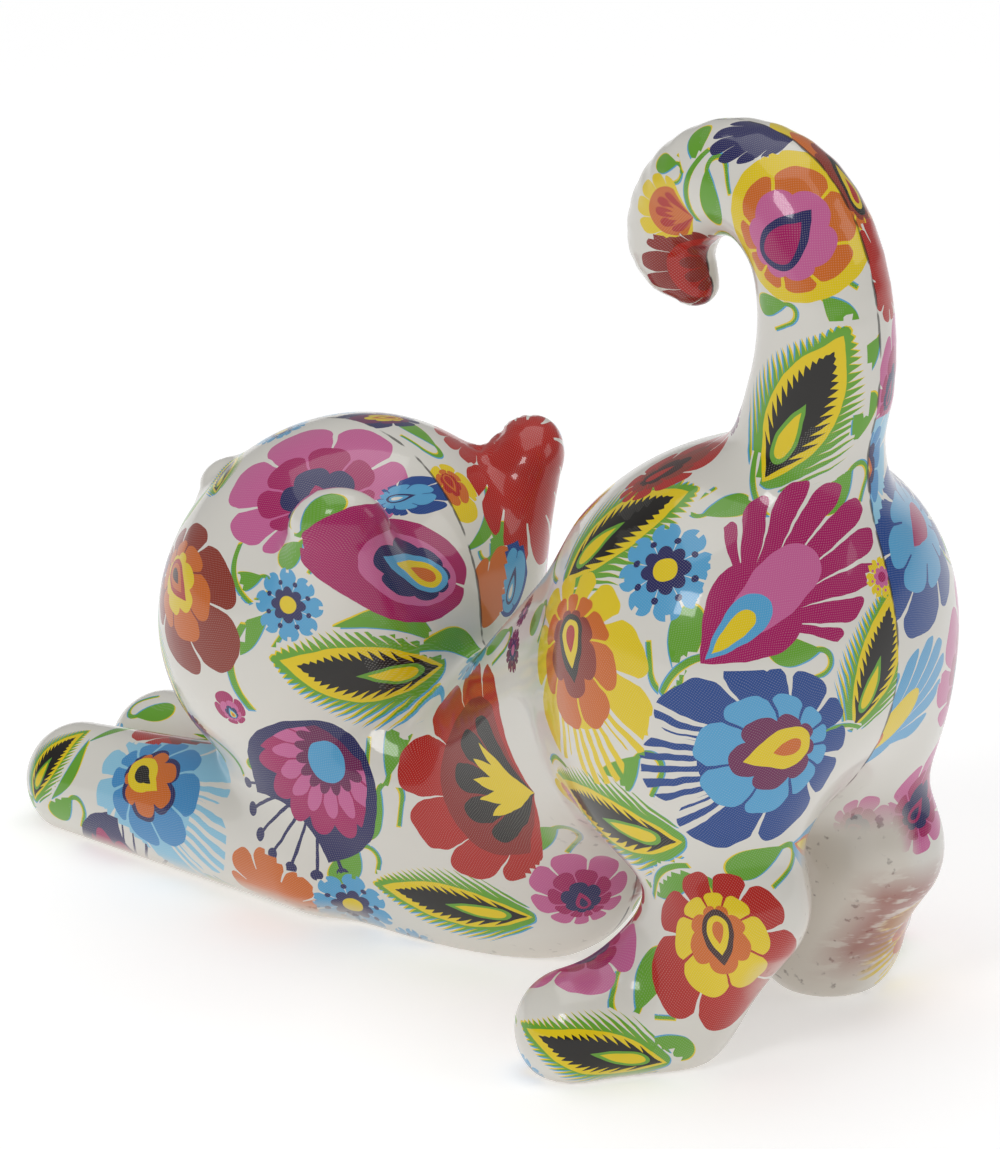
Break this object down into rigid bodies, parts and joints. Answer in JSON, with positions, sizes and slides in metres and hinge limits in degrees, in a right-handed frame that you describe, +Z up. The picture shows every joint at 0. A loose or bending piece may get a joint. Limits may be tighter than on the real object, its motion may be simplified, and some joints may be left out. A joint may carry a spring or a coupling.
{
  "type": "resin cat figurine",
  "caption": "Palm-sized resin cat in a stretching pose: chest and forelegs flat on the ground, rump raised, tail hooked forward, covered in a glossy folk-style floral print.",
  "frame": {"origin": "on the ground, under the middle of the figurine's box", "axes": "+X towards the head and forepaws, +Y to the cat's left, +Z up"},
  "size_m": [0.0941, 0.0463, 0.0786],
  "materials": {
    "printed_resin": "white cast resin under a printed floral film and clear gloss lacquer"
  },
  "bodies": {
    "root": {"cat": "printed_resin"}
  },
  "joints": []
}
